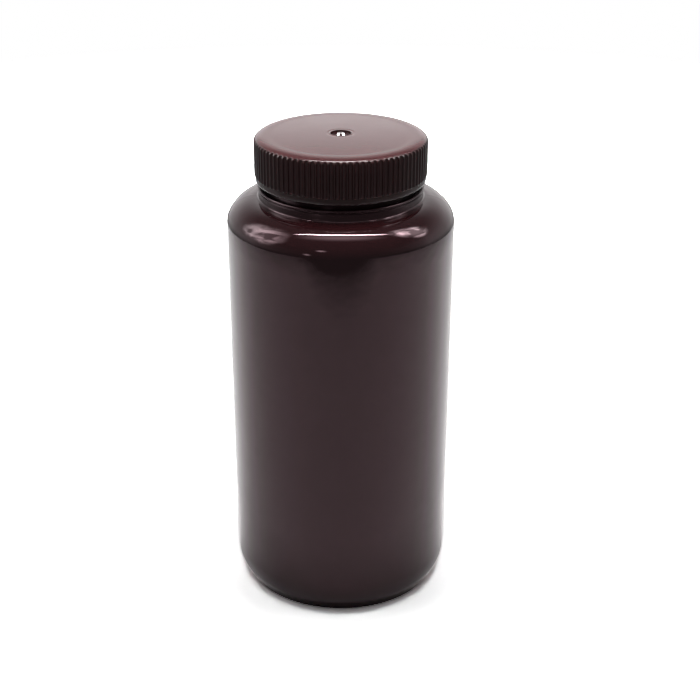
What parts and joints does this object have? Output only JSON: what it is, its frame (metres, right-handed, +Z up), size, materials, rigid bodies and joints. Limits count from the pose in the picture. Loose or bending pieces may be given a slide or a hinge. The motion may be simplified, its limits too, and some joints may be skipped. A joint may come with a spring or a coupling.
{
  "type": "reagent bottle",
  "caption": "Wide-mouth blow-moulded plastic reagent bottle with a fluted screw cap on a threaded neck and a foam sealing disc in the cap.",
  "frame": {"origin": "centre of the base, on the surface the bottle stands on", "axes": "+Z up along the bottle's axis; -Y is the side seen in the reference view"},
  "size_m": [0.092, 0.092, 0.1964],
  "materials": {
    "amber_polyethylene": "blow-moulded, semi-gloss",
    "brown_polypropylene": "moulded, satin",
    "foamed_polyethylene": "foamed, matt"
  },
  "bodies": {
    "bottle": {"bottle_base": "amber_polyethylene", "bottle_wall": "amber_polyethylene", "bottle_shoulder": "amber_polyethylene", "bottle_neck": "amber_polyethylene"},
    "liner": {"cap_liner": "foamed_polyethylene"},
    "cap": {"screw_cap": "brown_polypropylene"}
  },
  "joints": [
    {"name": "cap_lift", "type": "slide", "parent": "bottle", "child": "liner", "axis": [0, 0, 1], "range_m": [0, 0.017]},
    {"name": "cap_turn", "type": "hinge", "parent": "liner", "child": "cap", "pos_m": [0, 0, 0.1934], "axis": [0, 0, 1], "range_deg": [0, 1440]}
  ],
  "couplings": [
    {"joint": "cap_lift", "follows": "cap_turn", "m_per_rad": 0.00067376}
  ]
}
